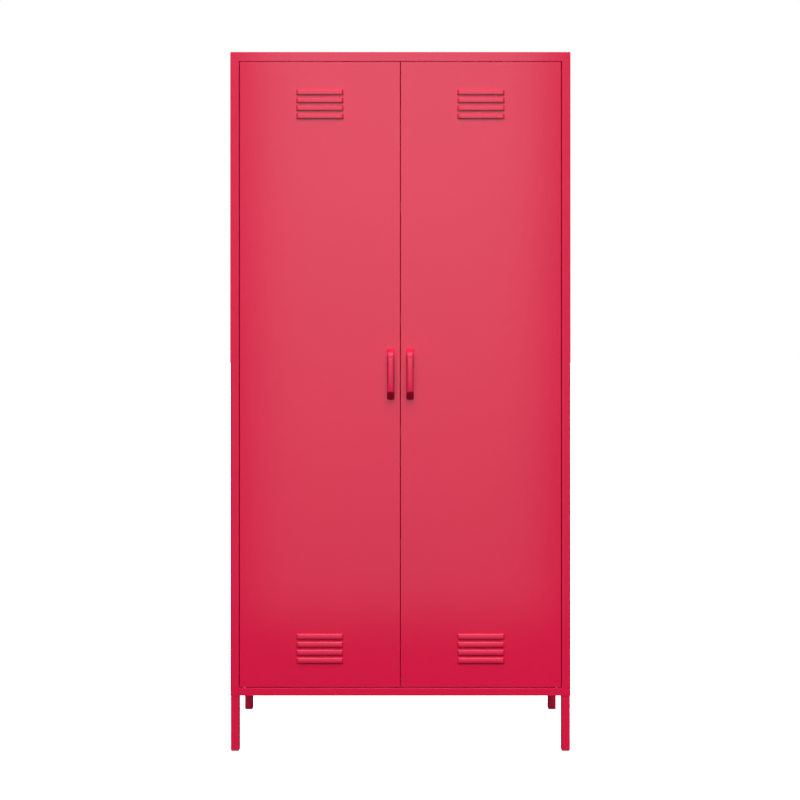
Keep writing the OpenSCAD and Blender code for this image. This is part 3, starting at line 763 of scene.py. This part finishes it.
def build_stage():
    """A pale glowing floor that the camera sees, and that throws no light back on the cabinet."""
    bm = bmesh.new()
    bmesh.ops.create_grid(bm, x_segments=1, y_segments=1, size=FLOOR_HALF)
    floor = add_object("studio_floor", bm)
    m = Nodes("pale_floor")
    m.set("Base Color", m.mix(m.spread(m.noise(scale=1.5, detail=2), 0, 1), *FLOOR_GREYS))
    m.set("Roughness", FLOOR_ROUGHNESS)
    m.set("Emission Color", (1.0, 1.0, 1.0))
    m.set("Emission Strength", FLOOR_GLOW)
    floor.data.materials.append(m.material)
    floor.visible_diffuse = False
    floor.visible_glossy = False


# The studio's light, as brightness by direction. Up is the sine of the elevation, across and back
# the shares of the direction that point sideways and backwards. The dome fades in over the floor
# line, brightens over the horizon and the sky, and a tall soft screen stands straight in front.
LIGHT_BELOW = 0.07
FLOOR_LINE = (-0.247, -0.213)
HORIZON_UP = (-0.2, 0.12)
HORIZON_LIGHT = (0.09, 0.30)
SKY_UP = (0.1, 0.3)
SKY_LIGHT = 0.22
SCREEN_ACROSS = (0.105, 0.081)
SCREEN_BACK = (-0.3, 0.0)
SCREEN_UP = (-0.2, 0.06)
SCREEN_LIGHT = (0.85, 1.72)

# Soft lamps: degrees round from the front, degrees up, and the W/m2 on a surface that faces them;
# their distance and size in metres
KEY_LIGHT = (0, 50, 3.7)
SIDE_LIGHT = (150, 30, 2.3)
LAMP_DISTANCE = 20
LAMP_SIZE = 12


def build_lamp(name, turn, height, light):
    """A big round lamp, far off and kept out of the reflections, that faces the cabinet."""
    data = bpy.data.lights.new(name, "AREA")
    data.shape = "DISK"
    data.size = LAMP_SIZE
    data.energy = light * math.pi * LAMP_DISTANCE ** 2
    lamp = bpy.data.objects.new(name, data)
    round_z = Matrix.Rotation(math.radians(turn), 4, "Z")
    tilt = Matrix.Rotation(math.radians(90 - height), 4, "X")
    middle = Vector((0, 0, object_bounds()[1][2] / 2))
    turned = Matrix.Translation(middle) @ round_z @ tilt
    lamp.matrix_world = turned @ Matrix.Translation((0, 0, LAMP_DISTANCE))
    lamp.visible_glossy = False
    bpy.context.scene.collection.objects.link(lamp)


def build_lamps():
    build_lamp("key", *KEY_LIGHT)
    turn, *rest = SIDE_LIGHT
    build_lamp("right_fill", turn, *rest)
    build_lamp("left_fill", -turn, *rest)


def build_world():
    """A soft dome round the cabinet. The camera never sees it darker than plain white."""
    world = bpy.data.worlds.new("studio")
    world.use_nodes = True
    tree = world.node_tree

    def maths(operation, *values):
        made = tree.nodes.new("ShaderNodeMath")
        made.operation = operation
        for socket, value in zip(made.inputs, values):
            if isinstance(value, bpy.types.NodeSocket):
                tree.links.new(value, socket)
            else:
                socket.default_value = value
        return made.outputs[0]

    def ramp(value, start, end, low, high, smooth=False):
        made = tree.nodes.new("ShaderNodeMapRange")
        made.interpolation_type = "SMOOTHSTEP" if smooth else "LINEAR"
        limits = {"From Min": start, "From Max": end, "To Min": low, "To Max": high}
        for name, number in limits.items():
            made.inputs[name].default_value = number
        tree.links.new(value, made.inputs["Value"])
        return made.outputs["Result"]

    way = tree.nodes.new("ShaderNodeSeparateXYZ")
    tree.links.new(tree.nodes.new("ShaderNodeTexCoord").outputs["Generated"], way.inputs[0])
    across, back, up = way.outputs
    risen = ramp(up, *FLOOR_LINE, 0, 1, smooth=True)
    horizon = ramp(up, *HORIZON_UP, *HORIZON_LIGHT)
    sky = ramp(up, *SKY_UP, 0, SKY_LIGHT, smooth=True)
    screen = ramp(maths("ABSOLUTE", across), *SCREEN_ACROSS, 0, 1, smooth=True)
    in_front = ramp(back, *SCREEN_BACK, 1, 0, smooth=True)
    screen = maths("MULTIPLY", screen, in_front)
    screen = maths("MULTIPLY", screen, ramp(up, *SCREEN_UP, *SCREEN_LIGHT))
    bright = maths("ADD", horizon, sky)
    bright = maths("ADD", bright, screen)
    bright = maths("MULTIPLY", bright, risen)
    bright = maths("MAXIMUM", bright, LIGHT_BELOW)
    seen = tree.nodes.new("ShaderNodeLightPath").outputs["Is Camera Ray"]
    bright = maths("MAXIMUM", bright, seen)
    background = tree.nodes["Background"]
    background.inputs["Color"].default_value = (1, 1, 1, 1)
    tree.links.new(bright, background.inputs["Strength"])
    bpy.context.scene.world = world


# A level camera: height and distance from the face in metres, lens and sensor in millimetres, and
# the shifts that frame the cabinet
CAMERA_HEIGHT = 1.323
CAMERA_DISTANCE = 4.08
SENSOR_WIDTH = 36
LENS = 69.42
FRAME_DROP = -0.186
FRAME_ASIDE = -0.0005


def build_camera():
    data = bpy.data.cameras.new("camera")
    data.sensor_width = SENSOR_WIDTH
    data.lens = LENS
    data.shift_y = FRAME_DROP
    data.shift_x = FRAME_ASIDE
    camera = bpy.data.objects.new("camera", data)
    camera.location = (0, FACE_Y - CAMERA_DISTANCE, CAMERA_HEIGHT)
    camera.rotation_euler = (math.pi / 2, 0, 0)
    bpy.context.scene.collection.objects.link(camera)
    bpy.context.scene.camera = camera


bpy.context.scene.view_settings.view_transform = "Standard"
build_camera()
build_world()
build_lamps()
build_stage()

build_top()
build_bottom()
build_shelves()
for side in SIDES:
    build_side(side)
    build_door(side)
    build_handle(side)
for corner_name in ("front_left", "front_right", "rear_left", "rear_right"):
    build_leg_cap(corner_name)
dress_cad_nodes()
